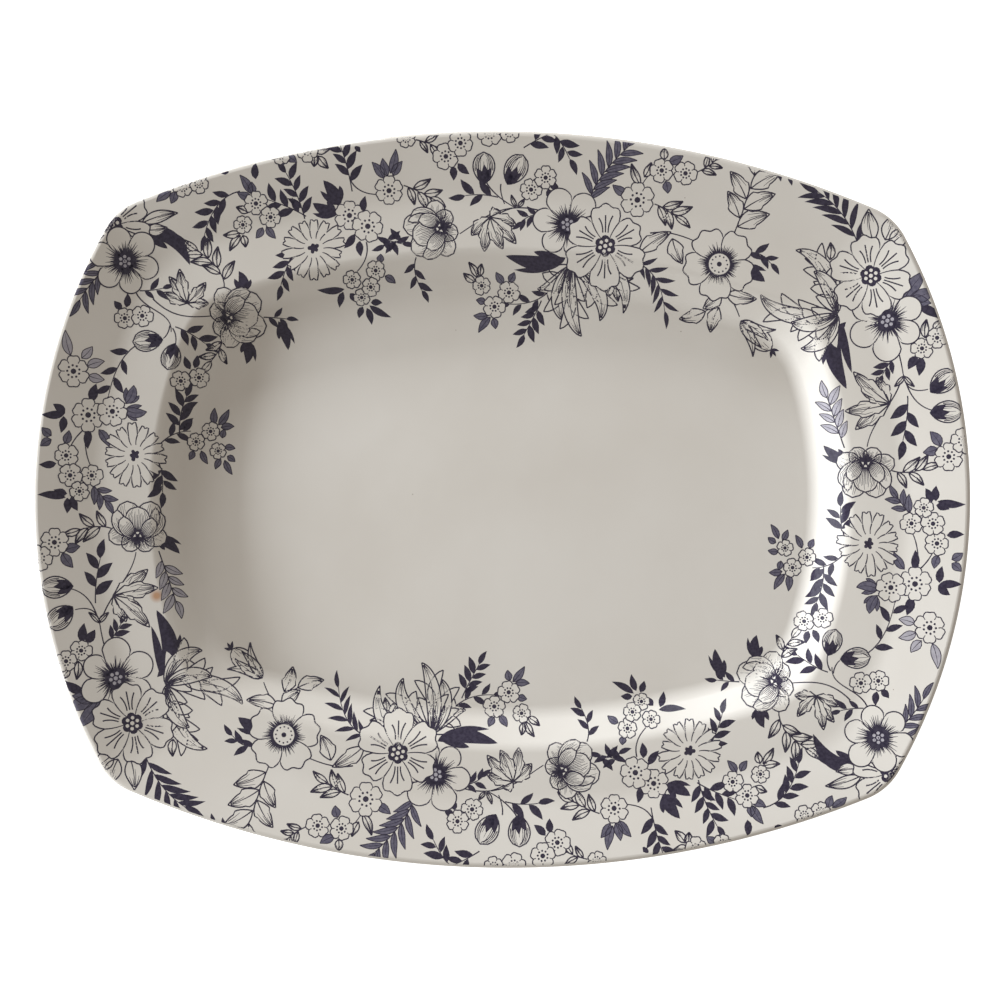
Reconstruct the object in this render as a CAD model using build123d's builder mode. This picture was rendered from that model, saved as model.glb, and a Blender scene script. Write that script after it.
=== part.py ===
from build123d import *
import os

# A bow-sided china serving platter. +Z is up, X runs along the platter and Y across it.
# The origin is on the table, under the middle. All sizes are in millimetres.

# Outline of the rim's edge: four shallow arcs with rounded corners. A side's bow is how far its
# middle stands out beyond the corners, before they are rounded.
platter_length = 355.0
platter_width = 279.0
long_side_bow = 31.0
short_side_bow = 30.0
corner_radius = 24.0

# Fired clay, seen across the rim from the edge to the middle
clay_thickness = 4.5
rim_width = 45.0
rim_rise = 7.0
rim_bend_inset = 24.0
rim_bend_rise = 1.5
rim_bend_round = 40.0
wall_run = 12.0
well_depth = 10.2
rim_bend_corner_radius = 25.0
shoulder_corner_radius = 26.0
floor_corner_radius = 30.0
shoulder_round = 7.0
floor_round = 9.0

# The edge, from its flat-topped lip to the underside
edge_thickness = 3.8
edge_land = 1.6
edge_round = 1.5

# Foot ring, set in from the edge of the well floor
foot_height = 3.0
foot_setback = 4.0
foot_land = 4.0
foot_draft = 0.7
foot_root_round = 2.0
under_shoulder_round = 12.0

# Coats on the clay
film_thickness = 0.1
glaze_thickness = 0.3
wiped_height = 0.8
print_reach = 80.0
reach_corner_radius = 15.0
print_edge_gap = 2.0

# Where neighbouring sides meet, before their corner is rounded
corner_x = platter_length / 2 - short_side_bow
corner_y = platter_width / 2 - long_side_bow

# Heights that follow
floor_height = foot_height + clay_thickness
shoulder_height = floor_height + well_depth
rim_bend_height = shoulder_height + rim_bend_rise
crest_height = shoulder_height + rim_rise

# The section, walked from the middle of the well floor over the rim and back underneath. Each
# corner has its inset from the platter's outline, its height and the corner radius of its loop.
floor_inset = rim_width + wall_run
foot_inset = floor_inset + foot_setback
section = {
    "floor_middle": (platter_width / 2, floor_height, 0),
    "floor_edge": (floor_inset, floor_height, floor_corner_radius),
    "shoulder": (rim_width, shoulder_height, shoulder_corner_radius),
    "rim_bend": (rim_bend_inset, rim_bend_height, rim_bend_corner_radius),
    "land_edge": (edge_land, crest_height, corner_radius - edge_land),
    "edge_top": (0, crest_height, corner_radius),
    "edge_bottom": (0, crest_height - edge_thickness, corner_radius),
    "under_rim": (rim_bend_inset, rim_bend_height - edge_thickness, rim_bend_corner_radius),
    "under_shoulder": (rim_width + 2, shoulder_height - clay_thickness, shoulder_corner_radius),
    "foot_root": (foot_inset - foot_draft, foot_height, floor_corner_radius),
    "foot_outside": (foot_inset, 0, floor_corner_radius),
    "foot_inside": (foot_inset + foot_land, 0, floor_corner_radius),
    "hollow_edge": (foot_inset + foot_land + foot_draft, foot_height, floor_corner_radius),
    "hollow_middle": (platter_width / 2, foot_height, 0),
}


def skinned(skin):
    """The section with every surface moved out of the clay by the thickness of a coat."""
    names = list(section)
    moved = {}
    for before, name, after in zip(names, names[1:], names[2:]):
        inset, height, corner = section[name]
        here = Vector(inset, height)
        first = (here - Vector(*section[before][:2])).normalized()
        second = (Vector(*section[after][:2]) - here).normalized()
        outward = Vector(first.Y + second.Y, -first.X - second.X)
        place = here + outward * (skin / (1 + first.dot(second)))
        moved[name] = (place.X, place.Y, corner - (place.X - inset))
    return moved


def outline(inset, height, corner):
    """The platter's bowed outline, drawn in from its edge, as a level face."""
    with BuildSketch(Plane.XY.offset(height)) as level:
        with BuildLine():
            ThreePointArc((-corner_x, corner_y), (0, platter_width / 2), (corner_x, corner_y))
            ThreePointArc((corner_x, corner_y), (platter_length / 2, 0), (corner_x, -corner_y))
            ThreePointArc((corner_x, -corner_y), (0, -platter_width / 2), (-corner_x, -corner_y))
            ThreePointArc((-corner_x, -corner_y), (-platter_length / 2, 0), (-corner_x, corner_y))
        make_face()
        if inset != 0:
            offset(amount=-inset, kind=Kind.INTERSECTION)
        fillet(level.vertices(), corner)
    return level.sketch.face()


def level_edges(form, height):
    """The edges of a form that run level at a height."""
    return form.edges().filter_by_position(Axis.Z, height - 0.01, height + 0.01)


def outside_form(skin):
    """The platter's outside, from the foot up to the edge, as a solid lump."""
    at = skinned(skin)
    with BuildPart() as form:
        names = ["foot_outside", "foot_root", "under_shoulder", "under_rim"]
        names += ["edge_bottom", "edge_top"]
        loft([outline(*at[name]) for name in names], ruled=True)
        fillet(level_edges(form, at["edge_top"][1]), edge_round + skin)
        fillet(level_edges(form, at["edge_bottom"][1]), edge_round + skin)
        fillet(level_edges(form, at["under_rim"][1]), rim_bend_round + skin)
        fillet(level_edges(form, at["under_shoulder"][1]), under_shoulder_round - skin)
        fillet(level_edges(form, at["foot_root"][1]), foot_root_round - skin)
    return form.part


def well_form(skin):
    """The open space over the rim and in the well, up to above the edge."""
    at = skinned(skin)
    inset, height, corner = at["land_edge"]
    with BuildPart() as form:
        names = ["floor_edge", "shoulder", "rim_bend", "land_edge"]
        levels = [outline(*at[name]) for name in names]
        loft(levels + [outline(inset, height + edge_thickness, corner)], ruled=True)
        fillet(level_edges(form, at["rim_bend"][1]), rim_bend_round - skin)
        fillet(level_edges(form, at["shoulder"][1]), shoulder_round + skin)
        fillet(level_edges(form, at["floor_edge"][1]), floor_round - skin)
    return form.part


def foot_hollow(skin):
    """The shallow space inside the foot ring."""
    at = skinned(skin)
    with BuildPart() as form:
        loft([outline(*at["foot_inside"]), outline(*at["hollow_edge"])], ruled=True)
    return form.part


# Fired clay, with its foot ring
with BuildPart() as biscuit_body:
    add(outside_form(0))
    add(well_form(0), mode=Mode.SUBTRACT)
    add(foot_hollow(0), mode=Mode.SUBTRACT)
biscuit_body.part.label = "biscuit_body"

# Printed films of the floral border: two halves of a band over the rim, the wall and the well edge
with BuildPart() as border_film:
    add(well_form(0))
    add(well_form(film_thickness), mode=Mode.SUBTRACT)
    level = outline(print_edge_gap, 0, corner_radius - print_edge_gap)
    extrude(level, crest_height * 2, mode=Mode.INTERSECT)
    extrude(outline(print_reach, 0, reach_corner_radius), crest_height * 2, mode=Mode.SUBTRACT)

with BuildPart() as border_transfer_a:
    add(border_film.part)
    split(bisect_by=Plane.YZ, keep=Keep.BOTTOM)
border_transfer_a.part.label = "border_transfer_a"

with BuildPart() as border_transfer_b:
    add(border_film.part)
    split(bisect_by=Plane.YZ, keep=Keep.TOP)
border_transfer_b.part.label = "border_transfer_b"

# Clear glaze. The foot ring is wiped bare, which parts the coat from the patch inside the ring.
with BuildPart() as all_glaze:
    add(outside_form(glaze_thickness))
    add(well_form(glaze_thickness), mode=Mode.SUBTRACT)
    add(foot_hollow(glaze_thickness), mode=Mode.SUBTRACT)
    add(biscuit_body.part, mode=Mode.SUBTRACT)
    add(border_film.part, mode=Mode.SUBTRACT)

ring_middle = outline(foot_inset + foot_land / 2, wiped_height, floor_corner_radius)
patch_space = extrude(ring_middle, foot_height + clay_thickness / 2 - wiped_height, mode=Mode.PRIVATE)
with BuildPart() as glaze_coat:
    add(all_glaze.part)
    split(bisect_by=Plane.XY.offset(wiped_height), keep=Keep.TOP)
    add(patch_space, mode=Mode.SUBTRACT)
glaze_coat.part.label = "glaze_coat"

with BuildPart() as foot_well_glaze:
    add(all_glaze.part)
    add(patch_space, mode=Mode.INTERSECT)
foot_well_glaze.part.label = "foot_well_glaze"

os.makedirs("parts", exist_ok=True)
for piece in [biscuit_body, border_transfer_a, border_transfer_b, glaze_coat, foot_well_glaze]:
    export_step(piece.part, f"parts/{piece.part.label}.step")
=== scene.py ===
# %% [markdown]
# # A china serving platter with a blue floral border
# This platter is one lump of fired clay under clear glaze, with a printed border of flowers held
# between the two. The construction model already gives its pieces and sizes. Here each surface
# gets its finish, and the border, which is a plain film in the construction model, gets drawn.
#
# The work goes as a pottery's would: shape the clay, glaze it, draw the transfer flat on the
# table, then lay it over the rim.

# %% Load the construction model
import math
import random

import bmesh
import bpy
from mathutils import Matrix, Vector
from mathutils.bvhtree import BVHTree
from mathutils.interpolate import poly_3d_calc


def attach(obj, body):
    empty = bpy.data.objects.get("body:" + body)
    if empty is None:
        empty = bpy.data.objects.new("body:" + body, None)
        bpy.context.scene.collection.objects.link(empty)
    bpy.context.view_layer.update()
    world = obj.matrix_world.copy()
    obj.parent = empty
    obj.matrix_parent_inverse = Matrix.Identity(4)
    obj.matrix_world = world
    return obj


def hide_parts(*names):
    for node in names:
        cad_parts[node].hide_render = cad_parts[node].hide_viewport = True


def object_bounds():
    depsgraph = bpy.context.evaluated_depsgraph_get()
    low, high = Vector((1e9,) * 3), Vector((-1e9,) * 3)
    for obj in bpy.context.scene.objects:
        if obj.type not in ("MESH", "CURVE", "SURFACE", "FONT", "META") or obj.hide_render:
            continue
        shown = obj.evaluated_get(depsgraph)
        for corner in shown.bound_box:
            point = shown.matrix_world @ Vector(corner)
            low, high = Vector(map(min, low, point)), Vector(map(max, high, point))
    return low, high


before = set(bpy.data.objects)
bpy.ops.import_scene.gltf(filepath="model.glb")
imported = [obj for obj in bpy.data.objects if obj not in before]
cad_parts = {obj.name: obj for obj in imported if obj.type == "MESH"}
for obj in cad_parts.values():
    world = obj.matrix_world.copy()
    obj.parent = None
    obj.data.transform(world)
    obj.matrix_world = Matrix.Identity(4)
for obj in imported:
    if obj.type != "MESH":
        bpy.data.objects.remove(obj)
cad_low, cad_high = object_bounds()
print("platter, in mm:", [round(side * 1000, 1) for side in cad_high - cad_low])

# %% [markdown]
# ## The camera
# The platter is seen from straight above. A long lens high over the table keeps the near rim and
# the far well almost the same scale. The platter lies half a degree askew, so the camera turns by
# that much instead, and the part keeps its own square frame.

# %% Camera over the table
VIEW_WIDTH = 0.379          # width of table in view, at the height of the rim
CAMERA_RISE = 1.3           # camera's height over the rim
AIM = (-0.0006, -0.0002)    # middle of the view, a hair off the platter's middle
ASKEW = math.radians(0.59)

camera = bpy.data.objects.new("camera", bpy.data.cameras.new("camera"))
bpy.context.scene.collection.objects.link(camera)
camera.data.sensor_width = 36
camera.data.lens = camera.data.sensor_width * CAMERA_RISE / VIEW_WIDTH
camera.location = (*AIM, cad_high.z + CAMERA_RISE)
camera.rotation_euler = (0, 0, ASKEW)
bpy.context.scene.camera = camera
bpy.context.scene.view_settings.view_transform = "Standard"
print("lens, in mm:", round(camera.data.lens))

# %% [markdown]
# ## Finishes
# Every finish here is a glossy, slightly uneven coat, so one recipe serves them all. A fine noise
# in Object space drifts between two close colours, as a hand-dipped glaze or a hand-rubbed
# transfer does, and a second, broader noise bends the surface by a hair. That bend is what makes
# a window's reflection waver in real china. Numbers that are the same all over sit on the
# shader's own sockets.

# %% A helper for finishes
def finish(name, light, dark, grain, roughness, waver=0.00004, waver_scale=60.0):
    """A coat that drifts between two colours and whose surface wavers a little."""
    material = bpy.data.materials.new(name)
    material.use_nodes = True
    nodes, links = material.node_tree.nodes, material.node_tree.links
    shader = nodes["Principled BSDF"]
    shader.inputs["Roughness"].default_value = roughness
    place = nodes.new("ShaderNodeTexCoord")
    drift = nodes.new("ShaderNodeTexNoise")
    drift.inputs["Scale"].default_value = grain
    drift.inputs["Detail"].default_value = 4
    ramp = nodes.new("ShaderNodeValToRGB")
    ramp.color_ramp.elements[0].position, ramp.color_ramp.elements[1].position = 0.36, 0.62
    ramp.color_ramp.elements[0].color = (*dark, 1)
    ramp.color_ramp.elements[1].color = (*light, 1)
    links.new(place.outputs["Object"], drift.inputs["Vector"])
    links.new(drift.outputs["Fac"], ramp.inputs["Fac"])
    links.new(ramp.outputs["Color"], shader.inputs["Base Color"])
    swell = nodes.new("ShaderNodeTexNoise")
    swell.inputs["Scale"].default_value = waver_scale
    swell.inputs["Detail"].default_value = 1
    bump = nodes.new("ShaderNodeBump")
    bump.inputs["Strength"].default_value = 1
    bump.inputs["Distance"].default_value = waver
    links.new(place.outputs["Object"], swell.inputs["Vector"])
    links.new(swell.outputs["Fac"], bump.inputs["Height"])
    links.new(bump.outputs["Normal"], shader.inputs["Normal"])
    return material


GLOSS = 0.09                # roughness of the fired glaze, over white and over ink alike
WHITE_GRAIN = 14            # scale of the drift in the white; a low number drifts broadly

# %% [markdown]
# ### Glaze over white clay
# The glaze is clear, and what shows is the warm white body under it. Two flaws of a used plate go
# on top of the even coat: a scatter of tiny dark specks from the kiln, and one small rusty stain
# beside the border on the left. A distance from a point, cut off softly, makes the stain.

# %% Glaze
WHITE_LIGHT, WHITE_DARK = (0.79, 0.755, 0.7), (0.745, 0.705, 0.645)
white_glaze = finish("white_glaze", WHITE_LIGHT, WHITE_DARK, WHITE_GRAIN, GLOSS)


def fleck(material, colour, mask):
    """Lets a colour show through a finish wherever a mask says so."""
    nodes, links = material.node_tree.nodes, material.node_tree.links
    shader = nodes["Principled BSDF"]
    under = shader.inputs["Base Color"].links[0].from_socket
    blend = nodes.new("ShaderNodeMix")
    blend.data_type = "RGBA"
    blend.inputs["B"].default_value = (*colour, 1)
    links.new(mask, blend.inputs["Factor"])
    links.new(under, blend.inputs["A"])
    links.new(blend.outputs["Result"], shader.inputs["Base Color"])


def soft_cut(material, value, full, none):
    """Turns a value into a mask: one at full, nothing at none."""
    cut = material.node_tree.nodes.new("ShaderNodeMapRange")
    cut.inputs["From Min"].default_value = none
    cut.inputs["From Max"].default_value = full
    material.node_tree.links.new(value, cut.inputs["Value"])
    return cut.outputs["Result"]


STAIN_PLACE, STAIN_RADIUS = (-0.131, -0.038, 0.0185), 0.003     # in metres
STAIN_COLOUR, SPECK_COLOUR = (0.56, 0.33, 0.2), (0.28, 0.22, 0.17)
SPECK_DENSITY = 48          # cells to a metre, with one speck in each
SPECK_CORE, SPECK_EDGE = 0.006, 0.012   # where a speck is full and where it ends, in cells
glaze_nodes, glaze_links = white_glaze.node_tree.nodes, white_glaze.node_tree.links
glaze_place = glaze_nodes.new("ShaderNodeTexCoord").outputs["Object"]
stain_reach = glaze_nodes.new("ShaderNodeVectorMath")
stain_reach.operation = "DISTANCE"
stain_reach.inputs[1].default_value = STAIN_PLACE
glaze_links.new(glaze_place, stain_reach.inputs[0])
fleck(white_glaze, STAIN_COLOUR,
      soft_cut(white_glaze, stain_reach.outputs["Value"], STAIN_RADIUS * 0.3, STAIN_RADIUS))

specks = glaze_nodes.new("ShaderNodeTexVoronoi")
specks.inputs["Scale"].default_value = SPECK_DENSITY
glaze_links.new(glaze_place, specks.inputs["Vector"])
fleck(white_glaze, SPECK_COLOUR,
      soft_cut(white_glaze, specks.outputs["Distance"], SPECK_CORE, SPECK_EDGE))

# %% [markdown]
# ### Bare clay and inks
# The foot ring is wiped before firing and shows the dry clay, so it is rough and a little
# grainy. The border is one dark blue-black ink. Where the engraver cut it fine it prints as a
# grey-blue or a pale grey wash, so the washes are finishes of their own. White petals that cover
# what is behind them are reserves: the same white as the glaze.

# %% Clay and inks
bare_clay = finish("bare_clay", (0.74, 0.69, 0.6), (0.64, 0.58, 0.49), 900, 0.82,
                   waver=0.00003, waver_scale=1500)
FINISHES = {
    "reserve": finish("petal_reserve", WHITE_LIGHT, WHITE_DARK, WHITE_GRAIN, GLOSS),
    "pale_wash": finish("pale_wash", (0.47, 0.45, 0.49), (0.38, 0.36, 0.41), 400, GLOSS),
    "mid_wash": finish("mid_wash", (0.16, 0.15, 0.2), (0.1, 0.093, 0.14), 700, GLOSS),
    "dark_ink": finish("dark_ink", (0.046, 0.039, 0.068), (0.026, 0.021, 0.042), 900, GLOSS),
    "line_ink": finish("line_ink", (0.05, 0.043, 0.07), (0.03, 0.025, 0.046), 900, GLOSS),
}
print("inks:", list(FINISHES))

# %% [markdown]
# ## Floor and light
# A glossy white dish shows its light more than its colour. Daylight comes low from two windows: a
# strong one on the left and a weaker one beyond the top edge. The low angle makes the right and
# near rims bright and leaves the left wall of the well dark, and each window mirrors as a white
# band in the wall that faces it. A warm, dim room fills the rest. The floor and what lies beyond
# it are white to the camera alone, so they stay pale without lighting the dish from below.

# %% Floor, room and windows
FLOOR_SIZE = 60.0           # in metres
PAPER_WHITE = (0.9, 0.9, 0.89, 1)
PURE_WHITE = (1, 1, 1, 1)
ROOM_COLOUR, ROOM_STRENGTH = (1.0, 0.93, 0.85, 1), 0.37

floor_bm = bmesh.new()
bmesh.ops.create_grid(floor_bm, x_segments=2, y_segments=2, size=FLOOR_SIZE / 2)
floor_mesh = bpy.data.meshes.new("floor")
floor_bm.to_mesh(floor_mesh)
floor = bpy.data.objects.new("floor", floor_mesh)
bpy.context.scene.collection.objects.link(floor)
paper = bpy.data.materials.new("white_paper")
paper.use_nodes = True
paper_shader = paper.node_tree.nodes["Principled BSDF"]
paper_shader.inputs["Base Color"].default_value = PAPER_WHITE
paper_shader.inputs["Roughness"].default_value = 0.95
paper_shader.inputs["Emission Color"].default_value = PURE_WHITE
paper_seen = paper.node_tree.nodes.new("ShaderNodeLightPath")
paper.node_tree.links.new(paper_seen.outputs["Is Camera Ray"],
                          paper_shader.inputs["Emission Strength"])
floor_mesh.materials.append(paper)

room = bpy.data.worlds.new("room")
room.use_nodes = True
bpy.context.scene.world = room
room_nodes, room_links = room.node_tree.nodes, room.node_tree.links
room_glow = room_nodes["Background"]
room_glow.inputs["Color"].default_value = ROOM_COLOUR
room_glow.inputs["Strength"].default_value = ROOM_STRENGTH
beyond = room_nodes.new("ShaderNodeBackground")
beyond.inputs["Color"].default_value = PURE_WHITE
room_seen = room_nodes.new("ShaderNodeLightPath")
either = room_nodes.new("ShaderNodeMixShader")
room_links.new(room_seen.outputs["Is Camera Ray"], either.inputs["Fac"])
room_links.new(room_glow.outputs["Background"], either.inputs[1])
room_links.new(beyond.outputs["Background"], either.inputs[2])
room_links.new(either.outputs["Shader"], room_nodes["World Output"].inputs["Surface"])


def window(name, azimuth, elevation, distance, width, height, watts, colour):
    """A window: an area light that faces the platter and doesn't show to the camera."""
    light = bpy.data.lights.new(name, "AREA")
    light.shape, light.size, light.size_y = "RECTANGLE", width, height
    light.energy, light.color = watts, colour
    lamp = bpy.data.objects.new(name, light)
    turn, rise = math.radians(azimuth), math.radians(elevation)
    away = Vector((math.cos(turn) * math.cos(rise), math.sin(turn) * math.cos(rise),
                   math.sin(rise)))
    lamp.location = away * distance
    lamp.rotation_euler = away.to_track_quat("Z", "Y").to_euler()
    lamp.visible_camera = False
    bpy.context.scene.collection.objects.link(lamp)


window("left_window", 176, 12, 2.0, 1.9, 0.33, 66, (0.9, 0.95, 1.0))
window("far_window", 113, 12, 2.2, 1.1, 0.25, 32, (0.92, 0.96, 1.0))

# %% [markdown]
# ## The form
# The outline is four shallow arcs with rounded corners. Each ring of the form is that outline
# drawn in from the edge by some inset, with its own corner radius, so one function that walks
# round the outline gives every ring.

# %% Outline
MM = 0.001
GLAZE = 0.3                                  # thickness of the glaze, mm
HALF_LENGTH = cad_high.x / MM - GLAZE        # of the clay under it
HALF_WIDTH = cad_high.y / MM - GLAZE
LONG_SIDE_BOW, SHORT_SIDE_BOW = 31.0, 30.0   # how far a side's middle stands out, mm
EDGE_CORNER = 24.0
LONG_STEPS, CORNER_STEPS, SHORT_STEPS = 64, 12, 48


def side_radius(half_chord, bow):
    """Radius of the arc whose middle stands out from its chord by the bow."""
    return (half_chord**2 + bow**2) / (2 * bow)


LONG_RADIUS = side_radius(HALF_LENGTH - SHORT_SIDE_BOW, LONG_SIDE_BOW)
SHORT_RADIUS = side_radius(HALF_WIDTH - LONG_SIDE_BOW, SHORT_SIDE_BOW)
LONG_CENTRE = Vector((0, HALF_WIDTH - LONG_RADIUS))
SHORT_CENTRE = Vector((HALF_LENGTH - SHORT_RADIUS, 0))


def on_circle(centre, radius, angle):
    return centre + Vector((math.cos(angle), math.sin(angle))) * radius


def corner_centre(inset, corner):
    """Centre of the rounded corner that touches a long and a short side."""
    to_long, to_short = LONG_RADIUS - inset - corner, SHORT_RADIUS - inset - corner
    apart = SHORT_CENTRE - LONG_CENTRE
    along = (to_long**2 - to_short**2 + apart.length_squared) / (2 * apart.length)
    across = math.sqrt(to_long**2 - along**2)
    step = apart.normalized()
    return LONG_CENTRE + step * along + Vector((step.y, -step.x)) * across


def ring_points(inset, corner):
    """Points once round the outline at an inset, the same number for every ring."""
    centre = corner_centre(inset, corner)
    from_long, from_short = centre - LONG_CENTRE, centre - SHORT_CENTRE
    long_end = math.atan2(from_long.y, from_long.x)
    short_end = math.atan2(from_short.y, from_short.x)
    arcs = [
        (SHORT_CENTRE, SHORT_RADIUS - inset, -short_end, short_end, SHORT_STEPS),
        (centre, corner, short_end, long_end, CORNER_STEPS),
        (LONG_CENTRE, LONG_RADIUS - inset, long_end, math.pi - long_end, LONG_STEPS),
        (Vector((-centre.x, centre.y)), corner, math.pi - long_end, math.pi - short_end,
         CORNER_STEPS),
    ]
    half = [on_circle(middle, radius, start + (end - start) * step / steps)
            for middle, radius, start, end, steps in arcs for step in range(steps)]
    return half + [-point for point in half]


RING_COUNT = len(ring_points(0, EDGE_CORNER))
print("points round each ring:", RING_COUNT)

# %% [markdown]
# The section, from the middle of the well over the rim and back down to the foot, is a short list
# of bends. Each has its inset, its height, how far it is rounded, and the corner radius of its
# ring. A true arc replaces every rounded bend, because reflections show at once where a curve
# only pretends to be round. The glaze follows the same section, moved out by its thickness.

# %% Section
# inset, height, rounding, corner radius of the ring; all in mm
TOP_SECTION = [
    (85.0, 7.5, 0, 22.0),
    (60.6, 7.5, 0, 28.0),
    (57.0, 7.5, 9.0, 30.0),       # where the well floor meets the wall
    (45.0, 17.7, 7.0, 26.0),      # shoulder
    (24.0, 19.2, 40.0, 25.0),     # the rim's gentle bend
    (1.6, 24.7, 0.8, 22.4),       # lip
    (0.0, 24.7, 1.1, 24.0),
    (0.0, 20.9, 1.5, 24.0),
    (24.0, 15.4, 40.0, 25.0),     # underside of the rim
    (47.0, 13.2, 12.0, 26.0),
    (60.3, 3.0, 2.0, 30.0),       # root of the foot ring
    (60.8, 0.8, 0, 30.0),         # where the potter wiped the glaze off
]
FOOT_SECTION = [
    (61.0, 0.0, 0, 30.0),
    (65.0, 0.0, 0, 30.0),
    (65.7, 3.0, 0, 30.0),
    (85.0, 3.0, 0, 22.0),
]
BEND_STEPS = 8              # faces along each rounded bend


def coated(section, coat):
    """The section with every bend moved out of the clay by the thickness of a coat."""
    moved = []
    for place in range(len(section)):
        inset, height, rounding, corner = section[place]
        here = Vector((inset, height))
        before = here - Vector(section[max(place - 1, 0)][:2])
        after = Vector(section[min(place + 1, len(section) - 1)][:2]) - here
        before = (before if place else after).normalized()
        after = (after if place < len(section) - 1 else before).normalized()
        out = Vector((before.y + after.y, -before.x - after.x)) / (1 + before.dot(after))
        hollow = before.cross(after) > 0
        spot = here + out * coat
        if rounding:
            rounding += coat if hollow else -coat
        moved.append((spot.x, spot.y, max(rounding, 0), corner + inset - spot.x))
    return moved


def rounded(section):
    """The section's path, as (inset, height, corner radius), with arcs for its bends."""
    path = [Vector((section[0][0], section[0][1], section[0][3]))]
    for before, here, after in zip(section, section[1:], section[2:]):
        bend = Vector((here[0], here[1], here[3]))
        back = Vector((before[0], before[1], before[3])) - bend
        ahead = Vector((after[0], after[1], after[3])) - bend
        if here[2] == 0:
            path.append(bend)
            continue
        turn = math.pi - back.xy.angle(ahead.xy)
        reach = here[2] * math.tan(turn / 2)
        start = bend + back * (reach / back.xy.length)
        end = bend + ahead * (reach / ahead.xy.length)
        inward = back.xy.normalized() + ahead.xy.normalized()
        centre = bend.xy + inward.normalized() * (here[2] / math.cos(turn / 2))
        for step in range(BEND_STEPS + 1):
            share = step / BEND_STEPS
            spoke = (start.xy - centre).normalized().slerp((end.xy - centre).normalized(), share)
            place = centre + spoke * here[2]
            path.append(Vector((place.x, place.y, start.z + (end.z - start.z) * share)))
    path.append(Vector((section[-1][0], section[-1][1], section[-1][3])))
    return path


clay_path = rounded(TOP_SECTION)
glaze_path = rounded(coated(TOP_SECTION, GLAZE))
print("rings in the clay's section:", len(clay_path))

# %% [markdown]
# Both shells are pulled in one go. A filled circle starts the middle of the well, and its edge is
# extruded again and again: each time, the new ring of corners moves to its place on the outline.
# A number kept on every corner says which place round the ring it holds, so the order in which
# the operator returns them doesn't matter.

# %% Pull a shell along a path
def pull(path, closing_path):
    """A closed shell: its rings follow a path, and then a closing path back to the middle."""
    shell = bmesh.new()
    place = shell.verts.layers.int.new("place")
    start = bmesh.ops.create_circle(shell, cap_ends=True, segments=RING_COUNT, radius=1)
    for index, vert in enumerate(start["verts"]):
        vert[place] = index

    def settle(verts, step):
        points = ring_points(step.x, step.z)
        for vert in verts:
            spot = points[vert[place]]
            vert.co = (spot.x * MM, spot.y * MM, step.y * MM)

    settle(start["verts"], path[0])
    rim = [edge for edge in shell.edges if edge.is_boundary]
    for step in [*path[1:], *closing_path]:
        grown = bmesh.ops.extrude_edge_only(shell, edges=rim)["geom"]
        settle([item for item in grown if isinstance(item, bmesh.types.BMVert)], step)
        rim = [item for item in grown if isinstance(item, bmesh.types.BMEdge) and item.is_boundary]
    bmesh.ops.holes_fill(shell, edges=rim, sides=0)
    bmesh.ops.recalc_face_normals(shell, faces=shell.faces)
    return shell


def show(name, bm, material):
    """A smooth-shaded object from a bmesh, at the origin."""
    mesh = bpy.data.meshes.new(name)
    bm.to_mesh(mesh)
    mesh.polygons.foreach_set("use_smooth", [True] * len(mesh.polygons))
    mesh.materials.append(material)
    piece = bpy.data.objects.new(name, mesh)
    bpy.context.scene.collection.objects.link(piece)
    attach(piece, "root")
    return piece


# %% [markdown]
# ### Fired body and glaze coat
# The body is the clay itself, foot ring and all. Only its wiped foot shows, but it is complete,
# because a shell with nothing in it isn't a platter. The glaze coat goes out over the clay to the
# wiped line, turns there, and comes back along the clay.

# %% Body and coat
foot_path = [Vector((inset, height, corner)) for inset, height, _, corner in FOOT_SECTION]
body_shell = pull(clay_path, foot_path)
fired_body = show("fired_body", body_shell, bare_clay)
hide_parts("biscuit_body")

glaze_shell = pull(glaze_path, reversed(clay_path))
glaze_skin = show("glaze_skin", glaze_shell, white_glaze)
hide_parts("glaze_coat")

foot_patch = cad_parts["foot_well_glaze"]
foot_patch.data.materials.clear()
foot_patch.data.materials.append(white_glaze)
for shell in (body_shell, glaze_shell):
    print("faces:", len(shell.faces), "volume, cm3:", round(shell.calc_volume() * 1e6, 1))

# %% [markdown]
# ## Drawing the transfer
# The border is engraved once, printed on tissue and laid on the clay, and it looks the same when
# the platter is turned half round. So it is drawn as an engraver would: each flower or leaf on
# its own small sheet, in millimetres, lying flat. The sheet is then pressed onto the border
# twice, the second time turned half round.
#
# Everything is made of two things: a patch, which is a grid stretched between two curves, and a
# stroke, which is a thin patch along one curve. Which ink lies over which is kept as height: a
# patch's level is its height above the table, and becomes a few thousandths of a millimetre on
# the platter.

# %% Curves
def curve(*points):
    """A smooth Bezier curve through space, as a function of how far along it is."""
    knots = [Vector(point) for point in points]

    def at(share):
        left = knots
        while len(left) > 1:
            left = [a.lerp(b, share) for a, b in zip(left, left[1:])]
        return left[0]
    return at


def heading(path, share):
    """The way a curve runs at a place, as a unit vector."""
    way = path(min(share + 0.01, 1)) - path(max(share - 0.01, 0))
    return way.normalized() if way.length else Vector((1, 0))


def beside(path, width):
    """The curve that runs beside another at a width, which may be a function of the place."""
    def at(share):
        way = heading(path, share)
        return path(share) + Vector((-way.y, way.x)) * width(share)
    return at


def part_of(path, start, end):
    return lambda share: path(start + (end - start) * share)


def polar(angle, radius):
    return Vector((math.cos(angle), math.sin(angle))) * radius


# %% Sheets
ROW = 1.2                   # longest face along a patch, mm
LINE = 0.52                 # weight of an engraved outline, mm
HAIR = 0.34                 # weight of a shading line, mm
RIB = 0.5                   # weight of a twig or of a fern's rib, mm
chance = random.Random(7)


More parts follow.
